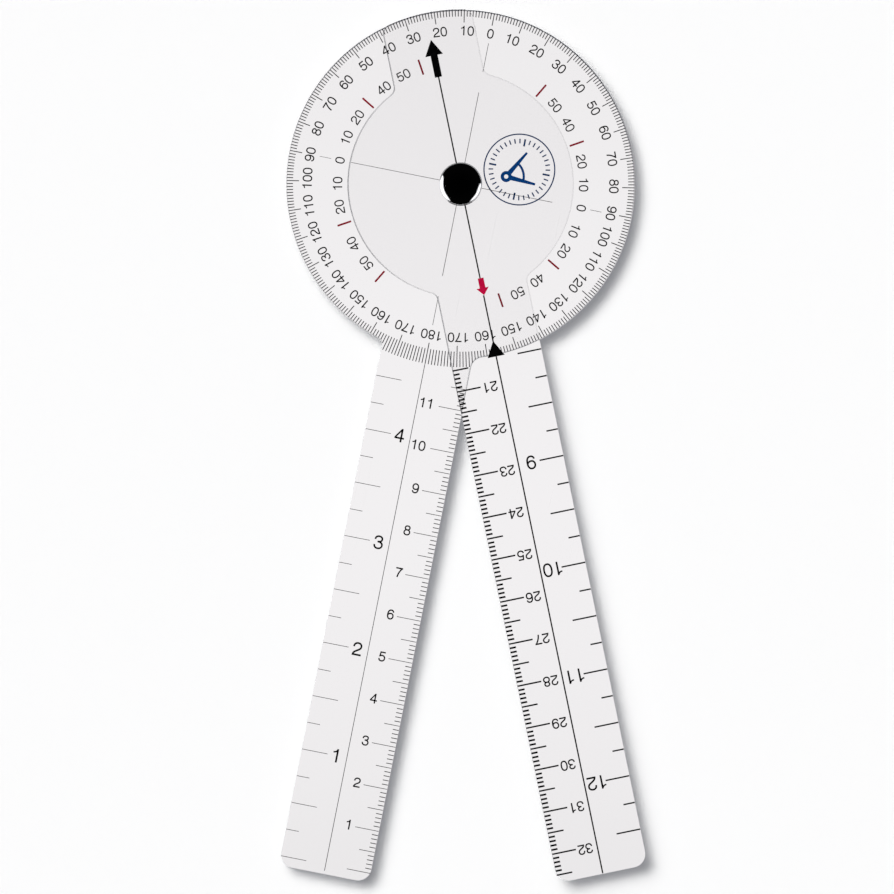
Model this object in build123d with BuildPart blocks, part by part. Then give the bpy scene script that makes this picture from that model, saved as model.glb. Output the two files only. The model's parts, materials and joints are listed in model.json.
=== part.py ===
from build123d import *
import os
from math import asin, cos, hypot, pi, radians, sin

# Two-arm plastic goniometer, 0 to 180 degrees, 20 cm / 8 in pattern.
#
# Frame: the origin is on the pivot axis at the flat face of the rear rivet cap,
# +Z runs along the pivot towards the reader, +Y points at the dial's 0 mark, and
# the fixed arm runs along -Y. The moving arm is drawn opened by REST_ANGLE.
#
# Stack, from the rear: rear cap, rear washer, dial sheet, pivot washer, moving
# sheet, front cap. A tubular socket and a headed post, pressed together, run up
# the middle and hold the two caps.

# ---------------------------------------------------------------- sheets
SHEET_T = 1.5  # thickness of each clear sheet
SHEET_EDGE = 0.1  # eased edge left by the die
ARM_HALF = 10.7  # half the width of each arm
TIP_ROUND = 3.2  # corner radius at the arm ends

DIAL_R = 40.7  # outer radius of the dial
FIXED_END = 164.1  # pivot to the square end of the fixed arm
ROOT_FILLET_POS_X = 3.0  # dial rim to fixed arm, +X side
ROOT_FILLET_NEG_X = 1.6  # dial rim to fixed arm, -X side
ROOT_MAX_Y = -30  # the two arm roots are the only rim corners below this

MOVING_END = 164.2  # pivot to the square end of the moving arm
HUB_R = 26.4  # round centre of the moving sheet
HUB_FILLET = 2.0  # where the strip leaves the round centre
POINTER_ROUND = 2.4  # corners of the short pointer end
POINTER_EXCESS = 1  # strip beyond the dial radius before it is cut to the arc
REST_ANGLE = 22.87  # moving arm from fixed arm, counter-clockwise about +Z

# ---------------------------------------------------------------- washers and play
WASHER_T = 0.25
WASHER_R = 4.6
WASHER_ROUND = 0.06  # outer edges
RUN_GAP = 0.03  # axial play at each face that turns
RUN_CLEAR = 0.05  # radial play of the rivet in the holes

# ---------------------------------------------------------------- rivet caps
CAP_R = 5.0
CAP_WALL = 0.3
CAP_INNER_R = CAP_R - CAP_WALL
CAP_LIP_R = 3.6  # hole in the rolled lip

FRONT_LIP_ROUND = 0.45  # side to lip
FRONT_BAND = 0.5  # height of the front cap's side below its shoulder
CROWN_R = 10.0  # spherical crown of the front cap
CROWN_EDGE = 4.7  # radius where the crown meets the rounded shoulder

REAR_H = 0.9  # height of the flat rear cap
REAR_FLAT_ROUND = 0.4  # flat face to side
REAR_LIP_ROUND = 0.3  # side to lip

# ---------------------------------------------------------------- socket and post
SOCKET_R = 2.0  # tube that the sheets turn on
POST_R = 1.5  # solid shank pressed into the tube
FLANGE_R = 4.4  # socket flange and post head
FLANGE_T = REAR_H - 2 * CAP_WALL
FLANGE_ROUND = 0.12
MOUTH_CHAMFER = 0.12  # outer edge of the tube's mouth
MOUTH_GAP = 0.1  # tube's mouth to post head
POST_TIP_GAP = 0.25  # post tip to the rear cap's inner face
POST_TIP_CHAMFER = 0.3

# ---------------------------------------------------------------- derived levels
Z_REAR_WASHER = REAR_H + RUN_GAP
Z_DIAL = Z_REAR_WASHER + WASHER_T
Z_PIVOT_WASHER = Z_DIAL + SHEET_T
Z_MOVING = Z_PIVOT_WASHER + WASHER_T + RUN_GAP
Z_FRONT_CAP = Z_MOVING + SHEET_T + RUN_GAP
Z_FLANGE_TOP = CAP_WALL + FLANGE_T
Z_POST_HEAD = Z_FRONT_CAP + CAP_WALL
Z_SOCKET_TOP = Z_POST_HEAD - MOUTH_GAP
Z_POST_TIP = CAP_WALL + POST_TIP_GAP
HOLE_R = SOCKET_R + RUN_CLEAR


# ---------------------------------------------------------------- helpers
def corners_on_circle(outline, radius):
    """Vertices of a sketch that lie on a circle about the pivot."""
    return outline.vertices().filter_by(lambda v: abs(hypot(v.X, v.Y) - radius) < 0.01)


def ease_outline(sheet):
    """Round the outer edges of a sheet, front face first."""
    for face_index in (-1, 0):
        face = sheet.faces().filter_by(Axis.Z).sort_by(Axis.Z)[face_index]
        fillet(face.outer_wire().edges(), SHEET_EDGE)


def widest_circles(piece):
    """Circular edges of the largest radius."""
    return piece.edges().filter_by(GeomType.CIRCLE).group_by(SortBy.RADIUS)[-1]


def on_arc(centre, radius, tilt):
    """Point on a circle, tilt measured from +Z towards +X."""
    return (centre[0] + radius * sin(tilt), centre[1] + radius * cos(tilt))


# ---------------------------------------------------------------- sheets
def make_dial_arm():
    """A full disc with a straight arm growing out of it."""
    with BuildPart() as sheet:
        with BuildSketch(Plane.XY.offset(Z_DIAL)) as outline:
            Circle(DIAL_R)
            with Locations((0, -FIXED_END / 2)):
                Rectangle(2 * ARM_HALF, FIXED_END)
            fillet(outline.vertices().group_by(Axis.Y)[0], TIP_ROUND)
            # inner corners where the arm leaves the rim: largest X, then smallest
            for corner_index, radius in ((-1, ROOT_FILLET_POS_X), (0, ROOT_FILLET_NEG_X)):
                roots = corners_on_circle(outline, DIAL_R).filter_by(lambda v: v.Y < ROOT_MAX_Y)
                fillet(roots.sort_by(Axis.X)[corner_index], radius)
            Circle(HOLE_R, mode=Mode.SUBTRACT)
        extrude(amount=SHEET_T)
        ease_outline(sheet)
    return sheet.part


def make_moving_arm():
    """A round centre with a long arm, and opposite it a short pointer end."""
    plane = Plane.XY.offset(Z_MOVING).rotated((0, 0, REST_ANGLE))
    with BuildPart() as sheet:
        with BuildSketch(plane) as outline:
            # long arm
            with Locations((0, -MOVING_END / 2)):
                Rectangle(2 * ARM_HALF, MOVING_END)
            fillet(outline.vertices().sort_by(Axis.Y)[:2], TIP_ROUND)
            # pointer end, cut to the dial radius
            with BuildSketch(plane, mode=Mode.ADD) as pointer:
                pointer_length = DIAL_R + POINTER_EXCESS
                with Locations((0, pointer_length / 2)):
                    Rectangle(2 * ARM_HALF, pointer_length)
                Circle(DIAL_R, mode=Mode.INTERSECT)
                fillet(pointer.vertices().sort_by(Axis.Y)[-2:], POINTER_ROUND)
            # round centre, blended into the strip at four places
            Circle(HUB_R)
            fillet(corners_on_circle(outline, HUB_R), HUB_FILLET)
            Circle(HOLE_R, mode=Mode.SUBTRACT)
        extrude(amount=SHEET_T)
        ease_outline(sheet)
    return sheet.part


# ---------------------------------------------------------------- slip washers
def make_washer(z):
    """A slip washer with its rear face at height z."""
    with BuildPart() as washer:
        with BuildSketch(Plane.XY.offset(z)):
            Circle(WASHER_R)
            Circle(HOLE_R, mode=Mode.SUBTRACT)
        extrude(amount=WASHER_T)
        fillet(widest_circles(washer), WASHER_ROUND)
    return washer.part


# ---------------------------------------------------------------- rivet caps
def make_front_cap():
    """Thin shell: a dome with a short straight band, rolled in under the post's head."""
    base = Z_FRONT_CAP
    band_top = base + FRONT_BAND
    # the shoulder is tangent to the vertical side and to the crown
    crown_tilt = asin(CROWN_EDGE / CROWN_R)
    shoulder_tilt = (crown_tilt + pi / 2) / 2  # middle of the shoulder arc
    shoulder_r = (CAP_R - CROWN_EDGE) / (1 - sin(crown_tilt))
    shoulder = (CAP_R - shoulder_r, band_top)
    crown = (0, band_top + (shoulder_r - CROWN_R) * cos(crown_tilt))
    crown_top = crown[1] + CROWN_R
    lip_round = (CAP_R - FRONT_LIP_ROUND, base + FRONT_LIP_ROUND)

    with BuildPart() as cap:
        with BuildSketch(Plane.XZ):
            with BuildLine():
                # outside, from the lip's hole round to the crown
                Line((CAP_LIP_R, base), (lip_round[0], base))
                ThreePointArc(
                    (lip_round[0], base),
                    on_arc(lip_round, FRONT_LIP_ROUND, radians(135)),
                    (CAP_R, lip_round[1]),
                )
                Line((CAP_R, lip_round[1]), (CAP_R, band_top))
                ThreePointArc(
                    (CAP_R, band_top),
                    on_arc(shoulder, shoulder_r, shoulder_tilt),
                    on_arc(shoulder, shoulder_r, crown_tilt),
                )
                ThreePointArc(
                    on_arc(shoulder, shoulder_r, crown_tilt),
                    on_arc(crown, CROWN_R, crown_tilt / 2),
                    (0, crown_top),
                )
                Line((0, crown_top), (0, crown_top - CAP_WALL))
                # inside, one wall thickness in
                ThreePointArc(
                    (0, crown_top - CAP_WALL),
                    on_arc(crown, CROWN_R - CAP_WALL, crown_tilt / 2),
                    on_arc(crown, CROWN_R - CAP_WALL, crown_tilt),
                )
                ThreePointArc(
                    on_arc(shoulder, shoulder_r - CAP_WALL, crown_tilt),
                    on_arc(shoulder, shoulder_r - CAP_WALL, shoulder_tilt),
                    (CAP_INNER_R, band_top),
                )
                Polyline(
                    (CAP_INNER_R, band_top),
                    (CAP_INNER_R, base + CAP_WALL),
                    (CAP_LIP_R, base + CAP_WALL),
                    (CAP_LIP_R, base),
                )
            make_face()
        revolve(axis=Axis.Z)
    return cap.part


def make_rear_cap():
    """Thin shell with a flat rear face, rolled over the socket's flange."""
    flat_r = CAP_R - REAR_FLAT_ROUND
    side_top = REAR_H - REAR_LIP_ROUND
    lip_outer_r = CAP_R - REAR_LIP_ROUND
    with BuildPart() as cap:
        with BuildSketch(Plane.XZ):
            with BuildLine():
                # outside
                Line((0, 0), (flat_r, 0))
                RadiusArc((flat_r, 0), (CAP_R, REAR_FLAT_ROUND), -REAR_FLAT_ROUND)
                Line((CAP_R, REAR_FLAT_ROUND), (CAP_R, side_top))
                RadiusArc((CAP_R, side_top), (lip_outer_r, REAR_H), -REAR_LIP_ROUND)
                # lip, then the inside back to the axis
                Polyline(
                    (lip_outer_r, REAR_H),
                    (CAP_LIP_R, REAR_H),
                    (CAP_LIP_R, REAR_H - CAP_WALL),
                    (CAP_INNER_R, REAR_H - CAP_WALL),
                    (CAP_INNER_R, CAP_WALL),
                    (0, CAP_WALL),
                    (0, 0),
                )
            make_face()
        revolve(axis=Axis.Z)
    return cap.part


# ---------------------------------------------------------------- socket and post
def make_rivet_socket():
    """Flange held in the rear cap, and the tube that the sheets turn on."""
    with BuildPart() as socket:
        with BuildSketch(Plane.XY.offset(CAP_WALL)):
            Circle(FLANGE_R)
            Circle(POST_R, mode=Mode.SUBTRACT)
        extrude(amount=FLANGE_T)
        with BuildSketch(Plane.XY.offset(Z_FLANGE_TOP)):
            Circle(SOCKET_R)
            Circle(POST_R, mode=Mode.SUBTRACT)
        extrude(amount=Z_SOCKET_TOP - Z_FLANGE_TOP)
        mouth = socket.edges().filter_by(GeomType.CIRCLE).group_by(Axis.Z)[-1]
        chamfer(mouth.sort_by(SortBy.RADIUS)[-1], MOUTH_CHAMFER)
        fillet(widest_circles(socket), FLANGE_ROUND)
    return socket.part


def make_rivet_post():
    """Head held in the front cap, and the shank pressed down the socket's bore."""
    with BuildPart() as post:
        with BuildSketch(Plane.XY.offset(Z_POST_HEAD)):
            Circle(FLANGE_R)
        extrude(amount=FLANGE_T)
        with BuildSketch(Plane.XY.offset(Z_POST_TIP)):
            Circle(POST_R)
        extrude(amount=Z_POST_HEAD - Z_POST_TIP)
        fillet(widest_circles(post), FLANGE_ROUND)
        tip_edge = post.edges().filter_by(GeomType.CIRCLE).group_by(Axis.Z)[0]
        chamfer(tip_edge, POST_TIP_CHAMFER)
    return post.part


# ---------------------------------------------------------------- labels and files
pieces = {
    "dial_arm": make_dial_arm(),
    "moving_arm": make_moving_arm(),
    "rear_washer": make_washer(Z_REAR_WASHER),
    "pivot_washer": make_washer(Z_PIVOT_WASHER),
    "front_cap": make_front_cap(),
    "rear_cap": make_rear_cap(),
    "rivet_socket": make_rivet_socket(),
    "rivet_post": make_rivet_post(),
}

os.makedirs("parts", exist_ok=True)
for name, piece in pieces.items():
    piece.label = name
    export_step(piece, f"parts/{name}.step")
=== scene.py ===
"""A clear plastic goniometer: a dial sheet with a fixed arm, and a moving arm riveted over it.

The sheets lie flat, +Z up. Print is drawn in each sheet's own flat coordinates, in millimetres:
the pivot is (0, 0), +Y points at the dial's 0 mark or along the pointer end, and the arm runs
along -Y. The moving sheet's print is then turned to where that sheet rests.
"""
import json
import math
from collections import namedtuple
from functools import cache, cached_property

import bmesh
import bpy
import numpy as np
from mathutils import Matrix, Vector
from mathutils.geometry import tessellate_polygon


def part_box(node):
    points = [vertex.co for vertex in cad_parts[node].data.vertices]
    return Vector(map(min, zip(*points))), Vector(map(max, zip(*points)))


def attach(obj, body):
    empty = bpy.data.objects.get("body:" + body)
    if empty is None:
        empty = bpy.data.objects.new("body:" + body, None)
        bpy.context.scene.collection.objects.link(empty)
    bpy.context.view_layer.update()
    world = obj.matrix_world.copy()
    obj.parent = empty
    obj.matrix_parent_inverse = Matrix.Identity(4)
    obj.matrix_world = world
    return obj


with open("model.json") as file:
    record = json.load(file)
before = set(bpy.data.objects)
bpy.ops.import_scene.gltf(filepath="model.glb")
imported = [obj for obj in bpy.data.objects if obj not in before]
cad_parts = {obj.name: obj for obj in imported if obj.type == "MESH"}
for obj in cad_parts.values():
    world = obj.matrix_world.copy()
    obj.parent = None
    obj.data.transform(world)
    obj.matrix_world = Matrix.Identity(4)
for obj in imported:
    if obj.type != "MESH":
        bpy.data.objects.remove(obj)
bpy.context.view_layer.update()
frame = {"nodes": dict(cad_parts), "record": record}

MM = 0.001

# ------------------------------------------------------------------ sizes from the frame
mounts = {mount["name"]: mount for mount in frame["record"]["mounts"]}
edge_axis = mounts["moving_arm_edge"]["axis"]
REST_TURN = math.atan2(edge_axis[1], edge_axis[0])
DIAL_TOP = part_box("dial_arm")[1].z / MM
MOVING_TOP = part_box("moving_arm")[1].z / MM
MOVING_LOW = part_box("moving_arm")[0].z / MM
DIAL_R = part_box("dial_arm")[1].y / MM
ARM_HALF = mounts["fixed_arm_edge"]["pos_m"][0] / MM
FIXED_END = -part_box("dial_arm")[0].y / MM
MOVING_END = 164.2
EDGE = 0.1  # eased edge of the sheets: print stops short of it
CROWN_R = 10.0  # radius of curvature of the rivet's crown

INK_UP = 0.02  # how far the print stands above its sheet
INK_DOWN = 0.01  # and how far it is bedded in

# the straight-down view's own axes, in the frame
ROLL = math.radians(11.22)
RIGHT = Vector((math.cos(ROLL), math.sin(ROLL), 0))
UP = Vector((-math.sin(ROLL), math.cos(ROLL), 0))

Sheet = namedtuple("Sheet", "top turn body")
DIAL = Sheet(DIAL_TOP, 0.0, "dial")
MOVING = Sheet(MOVING_TOP, REST_TURN, "arm")


# ------------------------------------------------------------------ numerals
# Plain grotesque numerals drawn as strokes in 1/1000 em, and fattened evenly all round for
# the heavier print.
STROKE = 82.0
CAP_H = 703.0
ADVANCE = 556.0
GLYPH_BOX = (-36, -56, 592, 742)  # traced area: low x, low y, high x, high y
GRID_NUDGE = (0.0531, 0.0587)  # part of a step, which keeps the grid off straight outlines


def bezier(*points, steps=18):
    """Poly-Bezier: a first point, then groups of three control points."""
    path = [np.array(points[0], float)]
    for i in range(1, len(points), 3):
        start = path[-1]
        pull0, pull1, end = (np.array(point, float) for point in points[i : i + 3])
        for k in range(1, steps + 1):
            t = k / steps
            path.append((1 - t) ** 3 * start + 3 * (1 - t) ** 2 * t * pull0
                        + 3 * (1 - t) * t * t * pull1 + t**3 * end)
    return np.array(path)


def oval(centre, radii, power, steps=72):
    """A closed superellipse."""
    angles = np.linspace(0, 2 * math.pi, steps + 1)
    return np.stack([middle + radius * np.sign(wave) * np.abs(wave) ** (2 / power)
                     for middle, radius, wave in zip(centre, radii, (np.cos(angles), np.sin(angles)))],
                    axis=1)


def from_segment(grid, start, end):
    """Vectors to the grid points from the nearest point of a segment."""
    span = end - start
    along = np.clip(((grid - start) @ span) / (span @ span), 0, 1)
    return grid - (start + along[:, None] * span)


def stroke_distance(grid, path, width, cuts=(False, False)):
    """Signed distance from grid points to a stroked path, cut flat at the ends where asked."""
    best = np.full(len(grid), 1e9)
    for start, end in zip(path[:-1], path[1:]):
        best = np.minimum(best, np.hypot(*from_segment(grid, start, end).T) - width / 2)
    for cut, end, inner in ((cuts[0], path[0], path[1]), (cuts[1], path[-1], path[-2])):
        if cut:
            along = (grid - end) @ ((end - inner) / np.hypot(*(end - inner)))
            near = np.hypot(*(grid - end).T) < width
            best = np.where(near & (along > -width / 4), np.maximum(best, along), best)
    return best


def polygon_distance(grid, polygon):
    """Signed distance to a closed polygon, negative inside."""
    polygon = np.array(polygon, float)
    best = np.full(len(grid), 1e18)
    inside = np.zeros(len(grid), bool)
    for i, start in enumerate(polygon):
        end = polygon[(i + 1) % len(polygon)]
        span = end - start
        best = np.minimum(best, (from_segment(grid, start, end) ** 2).sum(1))
        if span[1]:
            crosses = (start[1] > grid[:, 1]) != (end[1] > grid[:, 1])
            inside ^= crosses & (
                grid[:, 0] < start[0] + (grid[:, 1] - start[1]) * span[0] / span[1])
    return np.where(inside, -1, 1) * np.sqrt(best)


SIX = bezier((468, 512), (452, 610), (392, 662), (292, 662), (150, 662), (80, 548), (80, 330),
             (80, 120), (152, 22), (284, 22), (398, 22), (476, 105), (476, 222),
             (476, 340), (400, 416), (292, 416), (180, 416), (84, 340), (80, 235))
SIX_TO_NINE = np.array([556, 684])  # a half turn of the 6 makes the 9


def glyph_field(char, grid, grow):
    """Signed distance to a numeral that is fattened by grow in all."""

    def stroke(path, cuts=(False, False), weight=1.0):
        return stroke_distance(grid, path, STROKE * weight, cuts)

    def polygon(*points):
        return polygon_distance(grid, points)

    x, y = grid[:, 0], grid[:, 1]
    if char == "0":
        parts = [stroke(oval((278, 342), (200, 320), 2.35))]
    elif char == "1":
        flag = stroke_distance(grid, bezier((101, 531), (205, 535), (285, 570), (314, 703)), 66,
                               (True, True))
        parts = [polygon((274, 0), (358, 0), (358, 703), (292, 703), (274, 640)),
                 np.maximum(flag, y - 703)]
    elif char == "2":
        parts = [stroke(bezier((74, 462), (74, 590), (150, 662), (270, 662), (390, 662),
                               (463, 592), (463, 495), (463, 392), (392, 345), (305, 292),
                               (185, 220), (88, 172), (74, 40)), (True, True)),
                 polygon((33, 0), (505, 0), (505, 84), (62, 84), (34, 50))]
    elif char == "3":
        parts = [stroke(bezier((80, 492), (80, 600), (150, 662), (266, 662), (374, 662),
                               (442, 607), (442, 522), (442, 428), (372, 376), (218, 376)),
                        (True, True), weight=0.97),
                 stroke(bezier((218, 376), (398, 376), (480, 304), (480, 200), (480, 90),
                               (396, 22), (272, 22), (150, 22), (76, 95), (74, 208)),
                        (True, True), weight=0.97)]
    elif char == "4":
        outer = polygon((25, 168), (25, 252), (338, 703), (412, 703), (412, 246), (522, 246),
                        (522, 168), (412, 168), (412, 0), (330, 0), (330, 168))
        parts = [np.maximum(outer, -polygon((108, 246), (330, 246), (330, 566)))]
    elif char == "5":
        bowl = stroke(bezier((104, 348), (150, 398), (205, 419), (268, 419), (392, 419),
                             (472, 335), (472, 224), (472, 105), (386, 22), (260, 22),
                             (152, 22), (82, 82), (72, 188)), (False, True))
        # trim the bowl's start to the foot of the upright
        near = (x < 142) & (y > 250)
        bowl = np.where(near, np.maximum(bowl, 318 + (x - 63) * 0.12 - y), bowl)
        bowl = np.where(y > 250, np.maximum(bowl, (63 - x) + (y - 318) * 0.12), bowl)
        parts = [polygon((108, 688), (478, 688), (478, 606), (176, 606), (142, 352), (63, 318)),
                 bowl]
    elif char == "6":
        parts = [stroke(SIX, (True, False))]
    elif char == "7":
        leg = stroke(bezier((482, 650), (345, 480), (228, 270), (212, 0)), (False, True),
                     weight=1.02)
        parts = [polygon((38, 604), (522, 604), (522, 688), (38, 688)),
                 np.maximum(leg, y - 640),
                 polygon((440, 600), (522, 600), (522, 650), (440, 650))]
    elif char == "8":
        parts = [stroke(oval((278, 521), (168, 141), 2.1), weight=0.97),
                 stroke(oval((278, 201), (200, 179), 2.1), weight=0.97)]
    elif char == "9":
        parts = [stroke(SIX_TO_NINE - SIX, (True, False))]
    return np.minimum.reduce(parts) - grow / 2


def contours(field, xs, ys):
    """Marching squares at zero. Closed loops, counter-clockwise round the ink."""
    values = field.reshape(len(ys), len(xs))
    points, following = {}, {}

    def cross(start, end):
        key = (min(start, end), max(start, end))
        if key not in points:
            (i0, j0), (i1, j1) = start, end
            part = values[j0, i0] / (values[j0, i0] - values[j1, i1])
            points[key] = (xs[i0] + part * (xs[i1] - xs[i0]), ys[j0] + part * (ys[j1] - ys[j0]))
        return key

    for j in range(len(ys) - 1):
        for i in range(len(xs) - 1):
            corner = [(i, j), (i + 1, j), (i + 1, j + 1), (i, j + 1)]
            inked = [values[row, column] < 0 for column, row in corner]
            if all(inked) or not any(inked):
                continue
            outs = [k for k in range(4) if inked[k] and not inked[(k + 1) % 4]]
            ins = [k for k in range(4) if not inked[k] and inked[(k + 1) % 4]]
            for k in outs:
                m = next(back % 4 for back in range(k + 3, k - 1, -1) if (back % 4) in ins)
                following[cross(corner[k], corner[(k + 1) % 4])] = cross(
                    corner[m], corner[(m + 1) % 4])
    loops, seen = [], set()
    for start in list(following):
        loop, key = [], start
        while key not in seen:
            seen.add(key)
            loop.append(points[key])
            key = following[key]
        if loop:
            loops.append(np.array(loop))
    return loops


def simplify(loop, tolerance):
    """Douglas-Peucker on a closed loop."""

    def keep(run):
        if len(run) < 3:
            return list(run[:-1])
        span = run[-1] - run[0]
        size = float(np.hypot(*span))
        if size < 1e-9:
            offsets = np.hypot(*(run - run[0]).T)
        else:
            offsets = np.abs((run - run[0]) @ np.array([-span[1], span[0]])) / size
        k = int(offsets.argmax())
        return [run[0]] if offsets[k] <= tolerance else keep(run[: k + 1]) + keep(run[k:])

    far = int(np.hypot(*(loop - loop[0]).T).argmax())
    closed = np.vstack([loop, loop[:1]])
    return np.array(keep(closed[: far + 1]) + keep(closed[far:]))


def signed_area(loop):
    x, y = np.array(loop, float).T
    return 0.5 * float(np.sum(x * np.roll(y, -1) - np.roll(x, -1) * y))


def point_in(point, loop):
    x, y = point
    inside = False
    for i, (x0, y0) in enumerate(loop):
        x1, y1 = loop[(i + 1) % len(loop)]
        if (y0 > y) != (y1 > y) and x < x0 + (y - y0) * (x1 - x0) / (y1 - y0):
            inside = not inside
    return inside


def trace(field_of, box, step, tolerance):
    """Outline loops of a signed-distance shape, grouped as [outer, hole, hole...] per island."""
    x0, y0, x1, y1 = box
    xs = np.arange(x0, x1 + step, step) + step * GRID_NUDGE[0]
    ys = np.arange(y0, y1 + step, step) + step * GRID_NUDGE[1]
    grid_x, grid_y = np.meshgrid(xs, ys)
    field = field_of(np.c_[grid_x.ravel(), grid_y.ravel()])
    loops = [simplify(loop, tolerance) for loop in contours(field, xs, ys)]
    groups = [[loop] for loop in loops if signed_area(loop) > 0]
    for hole in loops:
        if signed_area(hole) < 0:
            around = [group for group in groups if point_in(hole[0], group[0])]
            min(around, key=lambda group: signed_area(group[0])).append(hole)
    return groups


def filled(loops):
    """Triangles over one outer loop and its holes, as indices into the joined list."""
    return tessellate_polygon([[Vector((float(x), float(y), 0)) for x, y in loop]
                               for loop in loops])


@cache
def glyph(char, grow):
    groups = trace(lambda grid: glyph_field(char, grid, grow), GLYPH_BOX, step=6.0, tolerance=0.9)
    return [(group, filled(group)) for group in groups]


# ------------------------------------------------------------------ print
def clockwise(degrees):
    """Unit vector at an angle clockwise from +Y."""
    angle = math.radians(degrees)
    return np.array([math.sin(angle), math.cos(angle)])


class Print:
    """Prisms of ink on one sheet. Every prism is its own closed solid."""

    def __init__(self, name, sheet):
        self.name, self.sheet = name, sheet
        self.low, self.high = sheet.top - INK_DOWN, sheet.top + INK_UP
        self.verts, self.faces = [], []

    def _prism(self, flat, sizes, caps):
        """Walls round loops of the given sizes, and caps as pairs of top and bottom face."""
        base, count = len(self.verts), len(flat)
        for z in (self.high, self.low):
            self.verts += [(x, y, z) for x, y in flat]
        for top, bottom in caps:
            self.faces.append(tuple(base + i for i in top))
            self.faces.append(tuple(base + count + i for i in bottom))
        for size in sizes:
            for i in range(size):
                here, after = base + i, base + (i + 1) % size
                self.faces.append((here, here + count, after + count, after))
            base += size

    def _fill(self, loops, triangles=None):
        flat = [(float(x), float(y)) for loop in loops for x, y in loop]
        caps = []
        for i, j, k in triangles or []:
            (x0, y0), (x1, y1), (x2, y2) = flat[i], flat[j], flat[k]
            if (x1 - x0) * (y2 - y0) - (y1 - y0) * (x2 - x0) < 0:
                j, k = k, j
            caps.append(((i, j, k), (i, k, j)))
        if triangles is None:
            caps.append(((0, 1, 2, 3), (3, 2, 1, 0)))
        self._prism(flat, [len(loop) for loop in loops], caps)

    def shape(self, loops):
        """An outline and its holes. A lone four-sided outline stays a quad."""
        loops = [np.array(loop, float) for loop in loops]
        loops = [loop[::-1] if (signed_area(loop) > 0) != (i == 0) else loop
                 for i, loop in enumerate(loops)]
        quad = len(loops) == 1 and len(loops[0]) == 4
        self._fill(loops, None if quad else filled(loops))

    def bar(self, start, end, width):
        """A straight line, cut square."""
        start, end = np.array(start, float), np.array(end, float)
        along = (end - start) / np.hypot(*(end - start))
        side = np.array([-along[1], along[0]]) * width / 2
        self.shape([[start - side, end - side, end + side, start + side]])

    def ray(self, angle, r0, r1, width):
        """A radial line. The angle is in degrees, clockwise from +Y."""
        along = clockwise(angle)
        self.bar(along * r0, along * r1, width)

    def annulus(self, centre, r0, r1, steps=160):
        angles = np.linspace(0, 2 * math.pi, steps, endpoint=False)
        circle = np.c_[np.cos(angles), np.sin(angles)]
        base = len(self.verts)
        for radius, z in ((r1, self.high), (r0, self.high), (r0, self.low), (r1, self.low)):
            self.verts += [(float(x), float(y), z) for x, y in np.array(centre) + circle * radius]
        for i in range(steps):
            j = (i + 1) % steps
            for k in range(4):
                ring, after = base + k * steps, base + (k + 1) % 4 * steps
                self.faces.append((ring + i, ring + j, after + j, after + i))

    def number(self, text, centre, height, turn=0.0, grow=0.0):
        """Numerals centred on a point, with their tops towards turn degrees clockwise from +Y."""
        scale = height / (CAP_H + grow)
        x0 = -len(text) * ADVANCE / 2
        angle = -math.radians(turn)
        cos, sin = math.cos(angle), math.sin(angle)
        rotation = np.array([[cos, -sin], [sin, cos]])
        for k, char in enumerate(text):
            for loops, triangles in glyph(char, grow):
                self._fill([((loop + [x0 + k * ADVANCE, -CAP_H / 2]) * scale) @ rotation.T
                            + np.array(centre, float) for loop in loops], triangles)

    def build(self, ink):
        material, slot = ink
        mesh = bpy.data.meshes.new(self.name)
        points = np.array(self.verts) * MM
        if self.sheet.turn:
            cos, sin = math.cos(self.sheet.turn), math.sin(self.sheet.turn)
            x, y, z = points.T
            points = np.c_[x * cos - y * sin, x * sin + y * cos, z]
        mesh.from_pydata([tuple(point) for point in points], [], self.faces)
        mesh.update()
        obj = bpy.data.objects.new(self.name, mesh)
        bpy.context.scene.collection.objects.link(obj)
        mesh.materials.append(material)
        work = bmesh.new()
        work.from_mesh(mesh)
        bmesh.ops.recalc_face_normals(work, faces=work.faces)
        work.to_mesh(mesh)
        work.free()
        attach(obj, self.sheet.body)


# ------------------------------------------------------------------ node helpers
UPRIGHT = (0.0, 0.0, 1.0)


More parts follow.
